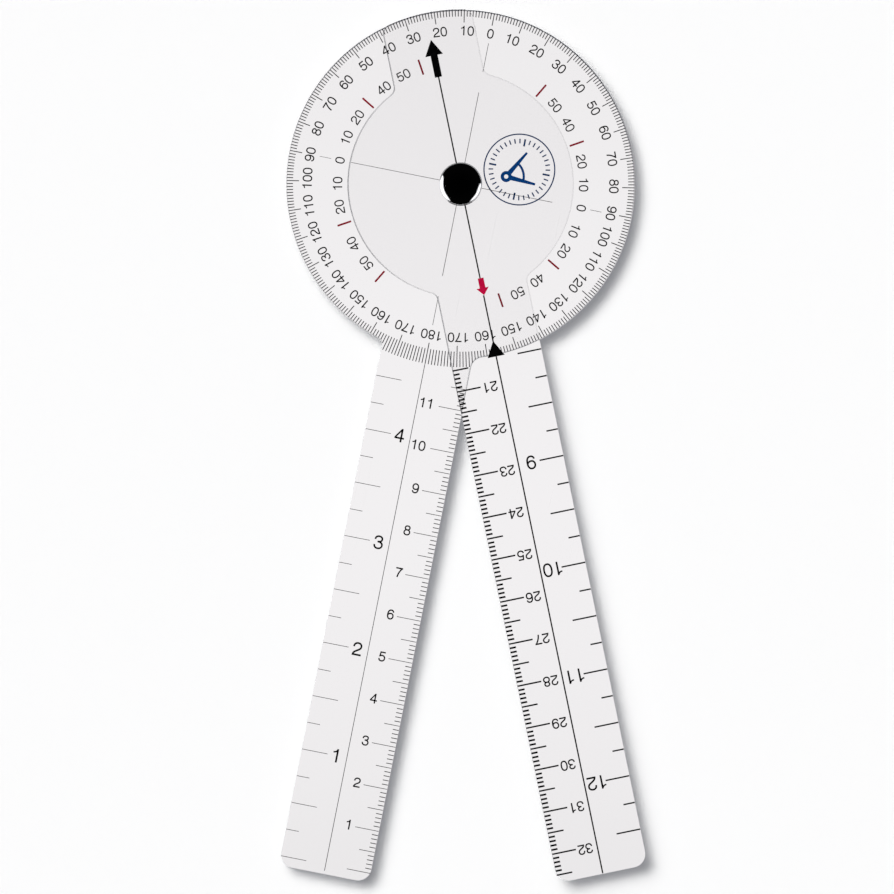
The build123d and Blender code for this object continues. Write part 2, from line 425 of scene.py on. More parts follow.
class Net:
    """Adds and links the shader nodes of one material or world."""

    def __init__(self, owner):
        self.owner = owner
        owner.use_nodes = True
        self.tree = owner.node_tree
        self.tree.nodes.clear()

    @cached_property
    def path(self):
        return self.node("LightPath").outputs

    @cached_property
    def geo(self):
        return self.node("NewGeometry").outputs

    @cached_property
    def coords(self):
        return self.node("TexCoord").outputs

    def node(self, kind, inputs=None, **props):
        node = self.tree.nodes.new("ShaderNode" + kind)
        for key, value in props.items():
            setattr(node, key, value)
        for key, value in (inputs or {}).items():
            if isinstance(value, bpy.types.NodeSocket):
                self.tree.links.new(value, node.inputs[key])
            else:
                node.inputs[key].default_value = value
        return node

    def add(self, kind, inputs=None, **props):
        """A node's first output."""
        return self.node(kind, inputs, **props).outputs[0]

    def finish(self, surface, kind="OutputMaterial"):
        self.node(kind, {"Surface": surface})
        return self.owner

    def math(self, op, *values, clamp=False):
        return self.add("Math", dict(enumerate(values)), operation=op, use_clamp=clamp)

    def times(self, first, second):
        return self.math("MULTIPLY", first, second)

    def plus(self, first, second):
        return self.math("ADD", first, second)

    def greatest(self, first, second):
        return self.math("MAXIMUM", first, second)

    def below(self, value, limit):
        return self.math("LESS_THAN", value, limit)

    def above(self, value, limit):
        return self.math("GREATER_THAN", value, limit)

    def one_minus(self, value):
        return self.math("SUBTRACT", 1.0, value)

    def vector(self, op, *values, scale=None):
        inputs = dict(enumerate(values))
        if scale is not None:
            inputs["Scale"] = scale
        outputs = self.node("VectorMath", inputs, operation=op).outputs
        return outputs["Value"] if op in ("DOT_PRODUCT", "LENGTH") else outputs[0]

    def dot(self, first, second):
        return self.vector("DOT_PRODUCT", first, second)

    def ramp(self, value, over, to=(0.0, 1.0)):
        """Smooth step between the values of to, as the input runs between those of over."""
        return self.add("MapRange", {"Value": value, "From Min": over[0], "From Max": over[1],
                                     "To Min": to[0], "To Max": to[1]},
                        interpolation_type="SMOOTHSTEP")

    def noise(self, scale, detail=4.0, rough=0.5, stretch=(1, 1, 1), turn=0.0, vector=None):
        vector = vector or self.coords["Object"]
        if stretch != (1, 1, 1) or turn:
            vector = self.add("Mapping", {"Vector": vector, "Rotation": (0, 0, turn),
                                          "Scale": stretch})
        return self.node("TexNoise", {"Vector": vector, "Scale": scale, "Detail": detail,
                                      "Roughness": rough}).outputs["Fac"]

    def bump(self, height, strength, distance):
        return self.add("Bump", {"Height": height, "Strength": strength, "Distance": distance})

    def emission(self, color, strength):
        return self.add("Emission", {"Color": color, "Strength": strength})

    def mix(self, factor, first, second):
        return self.add("MixShader", {0: factor, 1: first, 2: second})

    def mix_color(self, factor, first, second, blend="MIX"):
        return self.node("Mix", {0: factor, 6: first, 7: second}, data_type="RGBA",
                         blend_type=blend).outputs[2]


def new_material(name):
    return Net(bpy.data.materials.new(name))


def srgb(*levels):
    """An sRGB colour, 0 to 255, as linear RGBA."""
    parts = [level / 255 for level in levels]
    return (*(v / 12.92 if v <= 0.04045 else ((v + 0.055) / 1.055) ** 2.4 for v in parts), 1.0)


def scratches(net, turn):
    """A mask of fine hairline scratches lying in several directions."""
    total = None
    for k, (lie, scale) in enumerate(((0.35, 900), (1.25, 1100), (-0.6, 800))):
        hairs = net.noise(scale, detail=2.0, stretch=(1.0, 0.012, 1.0), turn=lie + turn)
        hairs = net.ramp(hairs, over=(0.70, 0.76))
        patches = net.ramp(net.noise(60 + 17 * k, detail=2.0), over=(0.5, 0.68))
        hairs = net.times(hairs, patches)
        total = hairs if total is None else net.greatest(total, hairs)
    return total


def squareness(net):
    """1 where a level surface is seen square on, 0 where it is seen edge on."""
    return net.math("ABSOLUTE", net.dot(net.geo["Incoming"], UPRIGHT))


def slant(net, over):
    """How far from square-on a surface is seen, for what the camera sees first."""
    square = squareness(net)
    direct = net.below(net.path["Diffuse Depth"], 0.5)
    return net.times(net.ramp(square, over), direct)


def mirrored_height(net, normal):
    """Height component of the direction that a surface mirrors to the eye."""
    return net.times(net.dot(net.vector("REFLECT", net.geo["Incoming"], normal), UPRIGHT), -1.0)


# ------------------------------------------------------------------ clear sheets
SHEET_IOR = 1.52
SQUARE_REFLECTION = 0.043  # reflectance of the sheet seen square on
SHADOW_REACH = 0.87  # length of the moving arm's shadow, as part of its own
# painted edge shade: the side of the view where it is strongest
EDGE_SHADE_SIDE = (-0.985, -0.174)  # in the view: where the edge lines are strongest
# painted shade on the dial's own rim: the side of the view where it is darkest
RIM_SHADE_SIDE = (0.208, 0.978)  # and where the dial's own rim is darkest


def toward(net, lean_x, lean_y, side):
    return net.plus(net.times(lean_x, side[0]), net.times(lean_y, side[1]))


def upper_line(net, line):
    """Keeps the painted shade line on the way out of the bottom face, with the other sheet close
    below: painted contact shade.
    """
    steep = net.ramp(squareness(net), over=(0.90, 0.98))
    # painted contact shade: the line is kept where the other sheet lies within this distance
    near = net.node("AmbientOcclusion", {"Distance": 0.001}, samples=2, inside=True)
    covered = net.one_minus(near.outputs["AO"])
    line = net.times(line, net.times(covered, net.geo["Backfacing"]))
    return net.times(line, steep)


def lower_line(net, line, near_edge, lean, lean_x, lean_y):
    """Keeps the painted shade line where it is seen through the other sheet, and adds painted shade on
    the dial's rim.
    """
    # the other sheet takes two refractions
    under = net.above(net.path["Transmission Depth"], 1.5)
    # painted shade on the dial's own rim, darkest on its far side, towards the view's top
    far = toward(net, lean_x, lean_y, RIM_SHADE_SIDE)
    far = net.math("DIVIDE", net.greatest(far, 0.0), net.greatest(lean, 0.001))
    far = net.math("MULTIPLY_ADD", net.math("POWER", far, 0.8), 0.88, 0.25)
    radius = net.vector("LENGTH", net.geo["Position"])
    on_dial = net.ramp(radius, over=((DIAL_R + 0.6) * MM, (DIAL_R + 0.2) * MM))
    far = net.times(far, on_dial)
    far = net.times(far, near_edge)
    line = net.greatest(net.times(line, under), far)
    line = net.times(line, net.one_minus(net.geo["Backfacing"]))
    steep = net.ramp(squareness(net), over=(0.70, 0.95))
    return net.times(line, steep)


def edge_line(net, upper):
    """Strength of the thin line of painted shade along a sheet's edge."""
    # the bevel node leans outwards within its radius of an edge
    # (and inwards when the face is met from inside, as the upper sheet's underside is)
    bevel = net.add("Bevel", {"Radius": 0.0005}, samples=8)
    way = -1.0 if upper else 1.0
    lean_x, lean_y = net.dot(bevel, RIGHT * way), net.dot(bevel, UP * way)
    lean = net.math("SQRT", net.plus(net.times(lean_x, lean_x), net.times(lean_y, lean_y)))
    facing = net.math("DIVIDE", toward(net, lean_x, lean_y, EDGE_SHADE_SIDE),
                      net.greatest(lean, 0.001))
    facing = net.math("POWER", net.greatest(facing, 0.0), 1.7)
    near_edge = net.ramp(lean, over=(0.015, 0.16))
    # painted shade all round, and more on the left
    base, more = (0.16, 0.54) if upper else (0.60, 0.20)
    line = net.times(near_edge, net.math("MULTIPLY_ADD", facing, more, base))
    if upper:
        return upper_line(net, line)
    return lower_line(net, line, near_edge, lean, lean_x, lean_y)


def cut_edge(net, body, upper):
    """The die-cut edge over the body: faintly frosted, with the die's vertical drag lines, painted
    shade on the upper sheet's eased left edge, and the mask of a painted glow.
    """
    level = net.math("ABSOLUTE", net.dot(net.geo["Normal"], UPRIGHT))
    cut = net.ramp(level, over=(0.85, 0.35))
    drag = net.noise(1400.0, detail=2.0, rough=0.6, stretch=(1.0, 1.0, 0.05))
    bump = net.bump(drag, strength=0.35, distance=0.00005)
    color = net.mix_color(drag, (0.36, 0.36, 0.38, 1), (0.52, 0.52, 0.54, 1))
    dull = net.times(cut, 0.42)
    if upper:
        # its eased left edge is painted dark: painted shade where it catches no light
        left = net.greatest(net.dot(net.geo["Normal"], -RIGHT), 0.0)
        eased = net.times(net.ramp(level, over=(0.95, 0.85)), net.ramp(level, over=(0.25, 0.45)))
        left = net.times(net.ramp(left, over=(0.2, 0.6)), eased)
        dull = net.greatest(dull, net.times(left, 0.95))
        dark = net.mix_color(left, (1, 1, 1, 1), (0.05, 0.055, 0.07, 1))
        color = net.mix_color(1.0, color, dark, blend="MULTIPLY")
    frost = net.add("BsdfPrincipled", {
        "Base Color": color, "Roughness": 0.38, "IOR": SHEET_IOR,
        "Transmission Weight": 0.35, "Normal": bump})
    body = net.mix(dull, body, frost)
    # painted glow: the cut edge, which shows from the side, is lit as if light from within the sheet
    # came out there
    edge_glow_mask = net.times(net.ramp(level, over=(0.75, 0.35)), net.path["Is Camera Ray"])
    return edge_glow_mask, drag, body


def shadow_veil(net, upper):
    """What shadow rays meet: the sheet shades the floor, but not the print just under it."""
    position = net.geo["Position"]
    back = net.vector("SCALE", net.geo["Incoming"], scale=net.path["Ray Length"])
    start = net.vector("ADD", back, position)
    shade = net.below(net.dot(start, UPRIGHT), 0.0003)
    if upper:
        # its underside carries the whole shadow, so both sheets' shadows have the same reach
        underside = net.below(net.dot(position, UPRIGHT), (MOVING_LOW + 0.15) * MM)
        shade = net.times(shade, underside)
        # and the shadow of its arm is drawn in
        near = net.vector("SCALE", start, scale=1.0 - SHADOW_REACH)
        whole = net.vector("SCALE", position, scale=SHADOW_REACH)
        drawn = net.vector("ADD", near, whole)
        local = net.add("VectorTransform", {"Vector": drawn}, vector_type="POINT",
                        convert_from="WORLD", convert_to="OBJECT")
        cos, sin = math.cos(REST_TURN), math.sin(REST_TURN)
        across, along = net.dot(local, (cos, sin, 0.0)), net.dot(local, (-sin, cos, 0.0))
        on_arm = net.times(net.below(net.math("ABSOLUTE", across), ARM_HALF * MM),
                           net.above(along, -MOVING_END * MM))
        on_arm = net.greatest(on_arm, net.above(along, -0.03))
        shade = net.times(shade, on_arm)
    veil = net.mix_color(shade, (0.95, 0.95, 0.95, 1), (0.02, 0.02, 0.02, 1))
    return net.add("BsdfTransparent", {"Color": veil})


def clear_sheet(name, turn, upper):
    """Clear rigid sheet: polished faces with hairline scratches and haze, duller cut edges.

    Where one sheet lies on the other, the upper one of the two edges shows as a thin line of painted
    shade. At a slant the faces show a painted reflection of a pale room, and the cut edges a painted
    glow.
    """
    net = new_material(name)
    marks = scratches(net, turn)
    waves = net.noise(55.0, detail=2.0)
    cloud = net.noise(24.0, detail=3.0)
    height = net.plus(net.times(waves, 1.0), net.times(marks, -0.06))
    bump = net.bump(height, strength=0.12, distance=0.0004)
    line = edge_line(net, upper)

    tint = net.mix_color(cloud, (0.976, 0.9745, 0.9755, 1), (0.980, 0.979, 0.980, 1))
    # painted shade: near the edges the line darkens the sheet's tint
    tint = net.mix_color(line, tint, (0.015, 0.025, 0.045, 1))
    refract = net.add("BsdfRefraction", {"Color": tint, "Roughness": 0.0, "IOR": SHEET_IOR})
    gloss = net.add("BsdfGlossy", {"Color": (1, 1, 1, 1), "Normal": bump,
                                   "Roughness": net.ramp(marks, over=(0, 1), to=(0.035, 0.3))})
    fresnel = net.add("Fresnel", {"IOR": SHEET_IOR})
    # seen square on, the reflection is left to the haze, so that the sheet stays clean
    reflect = net.math("MULTIPLY", net.math("SUBTRACT", fresnel, SQUARE_REFLECTION), 1.045,
                       clamp=True)
    # and at a slant it shows a painted reflection of a pale room, brightest low down
    outside = net.one_minus(net.geo["Backfacing"])
    level = net.ramp(mirrored_height(net, bump), over=(0.15, 0.75), to=(0.90, 0.45))
    level = net.math("MULTIPLY_ADD", marks, -0.25, level)
    room = net.emission((0.985, 0.99, 1.0, 1), level)
    painted_reflection_share = net.times(net.times(slant(net, over=(0.97, 0.90)), outside), 0.9)
    mirror = net.mix(painted_reflection_share, gloss, room)
    body = net.mix(reflect, refract, mirror)
    haze = net.add("BsdfDiffuse", {"Color": (0.9, 0.9, 0.9, 1)})
    hazy = net.plus(net.times(marks, 0.05), net.ramp(cloud, over=(0.35, 0.75), to=(0.0, 0.004)))
    body = net.mix(hazy, body, haze)

    edge_glow_mask, drag, body = cut_edge(net, body, upper)
    edge_glow_mask = net.times(edge_glow_mask, net.times(slant(net, over=(0.97, 0.85)), outside))
    # painted glow of the cut edge, an emission in place of light from within the sheet
    color = net.mix_color(drag, (0.50, 0.52, 0.54, 1), (0.74, 0.76, 0.78, 1))
    within = net.emission(color, 0.8)
    body = net.mix(net.times(edge_glow_mask, 0.45), body, within)
    clear = shadow_veil(net, upper)
    return net.finish(net.mix(net.path["Is Shadow Ray"], body, clear))


# ------------------------------------------------------------------ rivet, washers and ink
def plated(name):
    """Bright plated steel with fine polishing lines and light handling wear, and a painted reflection
    of the room at a slant.
    """
    net = new_material(name)
    fine = net.noise(2600.0, detail=3.0, rough=0.6)
    smear = net.noise(420.0, detail=3.0, rough=0.55)
    rub = scratches(net, 0.9)
    rough = net.plus(net.ramp(smear, over=(0.35, 0.75), to=(0.02, 0.06)), net.times(rub, 0.12))
    bump = net.bump(net.plus(fine, net.times(rub, -0.5)), strength=0.04, distance=0.00002)
    smeared = net.ramp(smear, over=(0.3, 0.8))
    metal = net.add("BsdfPrincipled", {
        "Base Color": net.mix_color(smeared, (0.80, 0.80, 0.81, 1), (0.72, 0.725, 0.74, 1)),
        "Metallic": 1.0, "Roughness": rough, "Normal": bump})
    # From above the crown mirrors the dark over the camera and the panels beside it. From a slant it
    # shows a painted reflection of the rest of the room: a ceiling that brightens overhead, a dim
    # horizon and the table.
    high = mirrored_height(net, bump)
    ceiling = net.math("POWER", net.ramp(high, over=(0.22, 0.98), to=(0.06, 0.98)), 1.35)
    table = net.ramp(high, over=(-0.03, -0.30), to=(0.05, 0.70))
    level = net.times(net.greatest(ceiling, table), net.math("MULTIPLY_ADD", rub, -0.3, 1.0))
    smeared = net.ramp(smear, over=(0.3, 0.8))
    color = net.mix_color(smeared, (0.80, 0.80, 0.81, 1), (0.70, 0.705, 0.72, 1))
    # painted reflection: an emission in place of what the metal mirrors at a slant
    room = net.emission(color, level)
    painted_reflection_share = net.times(slant(net, over=(0.95, 0.82)), 0.85)
    return net.finish(net.mix(painted_reflection_share, metal, room))


def turned_steel(name):
    """Drawn, zinc-plated steel of the rivet's inside parts: fine rings and a dull grain."""
    net = new_material(name)
    rings = net.node("TexWave", {"Vector": net.coords["Object"], "Scale": 900.0,
                                 "Distortion": 1.5, "Detail": 2.0},
                     wave_type="RINGS", rings_direction="Z").outputs["Fac"]
    grain = net.noise(1800.0, rough=0.6)
    both = net.plus(net.times(rings, 0.6), net.times(grain, 0.4))
    bump = net.bump(both, strength=0.12, distance=0.00003)
    return net.finish(net.add("BsdfPrincipled", {
        "Base Color": net.mix_color(grain, (0.52, 0.52, 0.53, 1), (0.64, 0.64, 0.65, 1)),
        "Metallic": 1.0, "Roughness": net.ramp(both, over=(0.2, 0.8), to=(0.25, 0.42)),
        "Normal": bump}))


def nylon(name):
    """Natural nylon washer: slightly cloudy, with polished rub marks."""
    net = new_material(name)
    cloud = net.noise(380.0, rough=0.6)
    grain = net.noise(2400.0, detail=3.0, rough=0.6)
    bump = net.bump(grain, strength=0.2, distance=0.00004)
    cloudy = net.ramp(cloud, over=(0.3, 0.75))
    return net.finish(net.add("BsdfPrincipled", {
        "Base Color": net.mix_color(cloudy, (0.80, 0.785, 0.74, 1), (0.88, 0.87, 0.835, 1)),
        "Roughness": net.ramp(cloud, over=(0.3, 0.8), to=(0.35, 0.5)), "Normal": bump,
        "Subsurface Weight": 0.25, "Subsurface Radius": (0.0006, 0.0005, 0.0004),
        "Subsurface Scale": 1.0}))


def ink(name, dark, pale, seed):
    """Screen-printed ink: a satin film with mesh texture and slight unevenness of density."""
    net = new_material(name)
    density = net.noise(900.0 + seed, rough=0.6)
    turned = net.add("Mapping", {"Vector": net.coords["Object"], "Rotation": (0, 0, 0.4)})
    threads = [net.node("TexWave", {"Vector": turned, "Scale": 2400.0},
                        bands_direction=way).outputs["Fac"] for way in "XY"]
    bump = net.bump(net.plus(net.times(*threads), density), strength=0.15, distance=0.000004)
    return net.finish(net.add("BsdfPrincipled", {
        "Base Color": net.mix_color(net.ramp(density, over=(0.35, 0.8)), dark, pale),
        "Roughness": net.ramp(density, over=(0.3, 0.8), to=(0.42, 0.6)),
        "Specular IOR Level": 0.12, "Normal": bump}))


SHEET_LOW = clear_sheet("clear_sheet_dial", turn=0.0, upper=False)
SHEET_TOP = clear_sheet("clear_sheet_arm", turn=0.5, upper=True)
CHROME = plated("bright_plate")
STEEL = turned_steel("rivet_steel")
NYLON = nylon("natural_nylon")
# each ink, paired with a slot name
BLACK = (ink("ink_black", dark=(0.0006, 0.0006, 0.0008, 1), pale=(0.0022, 0.0022, 0.0026, 1),
             seed=0), "ink_black")
SOFT = (ink("ink_soft_black", dark=(0.006, 0.006, 0.008, 1), pale=(0.014, 0.014, 0.018, 1),
            seed=31), "ink_black")
RED = (ink("ink_red", srgb(132, 4, 30), srgb(150, 12, 40), seed=57), "ink_red")
CRIMSON = (ink("ink_crimson", srgb(190, 8, 60), srgb(205, 20, 72), seed=83), "ink_red")
NAVY = (ink("ink_navy", srgb(30, 58, 100), srgb(44, 72, 114), seed=19), "ink_navy")
BLUE = (ink("ink_blue", srgb(0, 62, 128), srgb(14, 76, 142), seed=41), "ink_navy")

for piece, material in (("dial_arm", SHEET_LOW), ("moving_arm", SHEET_TOP),
                        ("front_cap", CHROME), ("rear_cap", CHROME),
                        ("rivet_post", STEEL), ("rivet_socket", STEEL),
                        ("pivot_washer", NYLON), ("rear_washer", NYLON)):
    slots = frame["nodes"][piece].data.materials
    slots.clear()
    slots.append(material)


# ------------------------------------------------------------------ print on both arms
INCH = 25.4
EDGE_X = ARM_HALF - 0.06  # the print is bedded deep enough to follow the eased edge this far


def edge_ticks(name, sheet, ink, side, ticks):
    """Ticks in from the arm's edge at +X or -X (side 1 or -1), each a (y, length, width)."""
    scale = Print(name, sheet)
    for y, length, width in ticks:
        x0, x1 = sorted((side * (ARM_HALF - length), side * EDGE_X))
        scale.bar((x0, y), (x1, y), width)
    scale.build(ink)


def numeral_row(name, sheet, places, **style):
    """Black numerals, each a (number, x, y)."""
    row = Print(name, sheet)
    for value, x, y in places:
        row.number(str(value), (x, y), **style)
    row.build(BLACK)


# ------------------------------------------------------------------ print on the dial
TICK_IN, TICK_OUT, TEN_IN = 39.1, 42.7, 37.7
TICK_WIDTH = 0.205
LIMIT_STEP = 0.02
FILLETS = {1: 3.0, -1: 1.6}  # dial rim to fixed arm, by side


def on_dial_sheet(x, y):
    """Whether a point is on the flat of the dial sheet, inside its eased edge."""
    if math.hypot(x, y) <= DIAL_R - EDGE:
        return True
    if y > 0:
        return False
    if abs(x) <= ARM_HALF - EDGE:
        return -y <= FIXED_END - EDGE
    fillet = FILLETS[1 if x > 0 else -1]
    centre_x = ARM_HALF + fillet
    centre_y = -math.sqrt((DIAL_R + fillet) ** 2 - centre_x**2)
    dx, dy = abs(x) - centre_x, y - centre_y
    # within the wedge between the fillet's two tangent points, and outside its circle
    to_dial = math.atan2(-centre_y, -centre_x)
    angle = math.atan2(dy, dx)
    angle += 2 * math.pi if angle < 0 else 0
    return to_dial <= angle <= math.pi and math.hypot(dx, dy) >= fillet + EDGE


def tick_limit(angle):
    """How far out a tick can run, up to TICK_OUT, and stay on the sheet."""
    x, y = clockwise(angle)
    radius = DIAL_R - EDGE
    while (radius + LIMIT_STEP <= TICK_OUT
           and on_dial_sheet((radius + LIMIT_STEP) * x, (radius + LIMIT_STEP) * y)):
        radius += LIMIT_STEP
    return radius


degrees = Print("print_dial_degree_ticks", DIAL)
tens = Print("print_dial_ten_ticks", DIAL)
for angle in range(360):
    ticks, inner_r = (degrees, TICK_IN) if angle % 10 else (tens, TEN_IN)
    ticks.ray(angle, inner_r, tick_limit(angle), TICK_WIDTH)
degrees.build(SOFT)
tens.build(SOFT)

# The outer numerals are set with their hundreds and tens slightly towards the 0 mark: sideways
# shift in hundredths of a millimetre, clockwise, for 0 to 180, by side.
SHIFT = {
    1: (0, -96, -86, -80, -73, -63, -53, -42, -26, -17, -94, -85, -75, -65, -55, -43, -33, -24,
        -19),
    -1: (0, 74, 67, 57, 50, 40, 31, 22, 9, 2, 61, 46, 34, 22, 12, 3, -5, -11, -19),
}
OUTER_NUMERAL_R = 35.8
outer = Print("print_dial_outer_numerals", DIAL)
for angle in range(0, 181, 10):
    for side in (1, -1):
        if side < 0 and angle in (0, 180):
            continue
        turn = angle * side + math.degrees(SHIFT[side][angle // 10] / 100 / OUTER_NUMERAL_R)
        outer.number(str(angle), OUTER_NUMERAL_R * clockwise(turn), height=2.22, turn=turn,
                     grow=16)
outer.build(BLACK)

INNER_NUMERAL_R = 28.72
inner = Print("print_dial_inner_numerals", DIAL)
for side in (1, -1):
    # numeral, and degrees either way from the side mark
    for text, offset in (("0", 0), ("10", 11), ("20", 21.8), ("40", 40.2), ("50", 51.1)):
        for way in (1, -1) if offset else (1,):
            turn = side * (90 + way * offset)
            inner.number(text, INNER_NUMERAL_R * clockwise(turn), height=2.2, turn=turn, grow=12)
inner.build(BLACK)

# angle, outer radius
RED_MARKS = ((29.5, 30.58), (59.5, 30.46), (119.6, 30.3), (149.8, 30.3),
             (-30, 30.64), (-59.95, 30.46), (-119.9, 30.32), (-150, 30.3))
red = Print("print_dial_red_marks", DIAL)
for angle, outer_r in RED_MARKS:
    red.ray(angle, 26.96, outer_r, width=0.43)
red.build(RED)

PIVOT_CLEAR = 2.7  # lines on both sheets start this far from the pivot
# angle, inner radius, outer radius, width
AXIS_LINES = (
    (0, PIVOT_CLEAR, 21.8, 0.125), (180, PIVOT_CLEAR, 21.8, 0.13),
    (90, PIVOT_CLEAR, 21.8, 0.12), (-90, PIVOT_CLEAR, 26.0, 0.115),
    (0, 26.7, 33.5, 0.12), (180, 26.7, 33.5, 0.115),
    (90, 30.8, 33.5, 0.105), (-90, 30.8, 33.5, 0.095),
)
lines = Print("print_dial_axis_lines", DIAL)
for line in AXIS_LINES:
    lines.ray(*line)
lines.build(SOFT)

# ------------------------------------------------------------------ print on the fixed arm
# centimetres on the +X side, inches on the -X side
CM_ZERO, INCH_ZERO = 161.85, 161.84  # the scales' zero marks, along -Y

spine = Print("print_fixed_arm_centre_line", DIAL)
spine.bar((0, -TICK_OUT), (0, -163.3), width=0.145)
spine.build(SOFT)

edge_ticks("print_fixed_arm_centimetres", DIAL, SOFT, 1,
           [(k - CM_ZERO,
             *((5.66, 0.14) if k % 10 == 0 else (3.7, 0.145) if k % 5 == 0 else (1.48, 0.185)))
            for k in range(116)])
edge_ticks("print_fixed_arm_inches", DIAL, SOFT, -1,
           [(INCH * k / 4 - INCH_ZERO, 3.05 if k % 2 else 6.08, 0.13) for k in range(19)])
numeral_row("print_fixed_arm_centimetre_numerals", DIAL,
            [(k, 3.49 if k < 10 else 2.14, -(161.65 - 10 * k) + 0.02) for k in range(1, 12)],
            height=2.34, grow=20)
numeral_row("print_fixed_arm_inch_numerals", DIAL,
            [(k, -2.51, INCH * k - INCH_ZERO) for k in range(1, 5)], height=3.18, grow=14)

# ------------------------------------------------------------------ emblem on the dial
# a plain angle sign in a ring of ticks
EMBLEM = np.array((12.78, 6.0))
EMBLEM_R = 8.4
ring = Print("print_emblem_ring", DIAL)
ring.annulus(EMBLEM, EMBLEM_R - 0.30, EMBLEM_R)
for k in range(36):
    along = clockwise(10 * k)
    inner_r, width = (5.5, 0.42) if k % 9 == 0 else (6.1, 0.30)
    ring.bar(EMBLEM + along * inner_r, EMBLEM + along * 7.2, width)
ring.build(NAVY)

# measured from the emblem's centre
SIGN_PIVOT = np.array([-2.7, -2.2])
SIGN_LEGS = ((-4, 7.0), (60, 7.4))  # degrees anticlockwise from +X, length
SIGN_ARC_R, SIGN_ARC_WIDTH = 4.1, 0.55
SIGN_HUB_R, SIGN_HOLE_R = 1.3, 0.5


def angle_sign(grid):
    """Two tapering legs from a round pivot, with an arc between them."""
    from_pivot = grid - SIGN_PIVOT
    field = np.full(len(grid), 1e9)
    for slope, length in SIGN_LEGS:
        leg = np.array([math.cos(math.radians(slope)), math.sin(math.radians(slope))])
        along = from_pivot @ leg
        across = np.abs(from_pivot @ np.array([-leg[1], leg[0]]))
        half = 0.62 - 0.05 * along
        field = np.minimum(field,
                           np.maximum(across - half, np.maximum(-along, along - length)))
    angles = np.radians(np.linspace(SIGN_LEGS[0][0], SIGN_LEGS[1][0], 40))
    arc = SIGN_PIVOT + SIGN_ARC_R * np.c_[np.cos(angles), np.sin(angles)]
    field = np.minimum(field, stroke_distance(grid, arc, SIGN_ARC_WIDTH))
    radius = np.hypot(*from_pivot.T)
    return np.maximum(np.minimum(field, radius - SIGN_HUB_R), SIGN_HOLE_R - radius)


sign = Print("print_emblem_angle_sign", DIAL)
for group in trace(angle_sign, (-5.0, -5.0, 5.6, 6.0), step=0.07, tolerance=0.008):
    sign.shape([loop + EMBLEM for loop in group])
sign.build(BLUE)


# ------------------------------------------------------------------ print on the moving sheet
INDEX_HALF = 0.33 / 2  # half width of the long index line
INNER_WIDTH = 0.325  # lines next to the pivot
INNER_HALF = INNER_WIDTH / 2
INDEX_END = -(MOVING_END - EDGE - 0.05)
# the reading triangle: its top and base along -Y, its half width, and height per half width
APEX, TRIANGLE_BASE, TRIANGLE_HALF = 37.35, 41.06, 2.03
SLOPE = (TRIANGLE_BASE - APEX) / TRIANGLE_HALF
RED_TAIL, RED_TIP = -22.45, -26.5  # ends of the red arrow

# the black index: one outline from the arm's tip to the reading triangle, and on to the red arrow
index = Print("print_moving_index_line", MOVING)
shoulder = -APEX - SLOPE * INDEX_HALF
index.shape([[(-INDEX_HALF, INDEX_END), (INDEX_HALF, INDEX_END),
              (INDEX_HALF, -TRIANGLE_BASE), (TRIANGLE_HALF, -TRIANGLE_BASE),
              (INDEX_HALF, shoulder), (INDEX_HALF, RED_TIP),
              (-INDEX_HALF, RED_TIP), (-INDEX_HALF, shoulder),
              (-TRIANGLE_HALF, -TRIANGLE_BASE), (-INDEX_HALF, -TRIANGLE_BASE)]])
index.bar((0, RED_TAIL), (0, -PIVOT_CLEAR), INNER_WIDTH)
index.build(BLACK)

pointer = Print("print_moving_black_arrow", MOVING)
pointer.shape([[(-INNER_HALF, PIVOT_CLEAR), (INNER_HALF, PIVOT_CLEAR), (INNER_HALF, 25.42),
                (0.82, 25.42), (0.82, 30.58), (2.1, 30.58), (0, 34.3), (-2.1, 30.58),
                (-0.86, 30.58), (-0.86, 25.42), (-INNER_HALF, 25.42)]])
pointer.build(BLACK)

red_arrow = Print("print_moving_red_arrow", MOVING)
red_arrow.shape([[(-0.56, RED_TAIL), (-0.56, -24.77), (-1.34, -24.77), (0.12, RED_TIP),
                  (1.58, -24.77), (0.80, -24.77), (0.80, RED_TAIL)]])
red_arrow.build(CRIMSON)

# centimetres on the -X side, inches on the +X side, both carrying on from the fixed arm's
edge_ticks("print_moving_arm_centimetres", MOVING, BLACK, -1,
           [(-(k - 162.7 + 0.05),
             *((5.7, 0.365) if k % 10 == 0 else (3.8, 0.365) if k % 5 == 0 else (1.52, 0.44)))
            for k in range(205, 326)])
edge_ticks("print_moving_arm_inches", MOVING, BLACK, 1,
           [(161.78 - INCH * k / 4, 2.75 if k % 2 else 5.7, 0.345) for k in range(32, 51)])
numeral_row("print_moving_arm_centimetre_numerals", MOVING,
            [(k, -2.85, -(10 * k - 162.7) - 0.43) for k in range(21, 33)],
            height=2.36, turn=180, grow=22)
numeral_row("print_moving_arm_inch_numerals", MOVING,
            [(k, 2.97, -(INCH * k - 161.8) - 0.14) for k in range(9, 13)],
            height=3.18, turn=180, grow=12)


# ------------------------------------------------------------------ stage
def gap(net, azimuth, deg):
    """Unsigned angle from an azimuth, in degrees."""
    cosine = net.math("COSINE", net.math("SUBTRACT", azimuth, math.radians(deg)))
    return net.times(net.math("ARCCOSINE", cosine), 180 / math.pi)


def rim_level(net):
    """Painted reflection that the rivet's rolled rim picks up, by direction clockwise from the view's
    up.
    """
    into = net.geo["Incoming"]
    azimuth = net.math("ARCTAN2", net.times(net.dot(into, RIGHT), -1.0),
                       net.times(net.dot(into, UP), -1.0))
    left = net.ramp(gap(net, azimuth, -106), over=(42, 30))
    right = net.ramp(gap(net, azimuth, 118), over=(32, 22))
    top = net.ramp(gap(net, azimuth, 5), over=(90, 60))
    sides = net.plus(net.times(left, 0.95), net.times(right, 0.62))
    return net.plus(net.greatest(sides, net.times(top, 0.16)), 0.02)


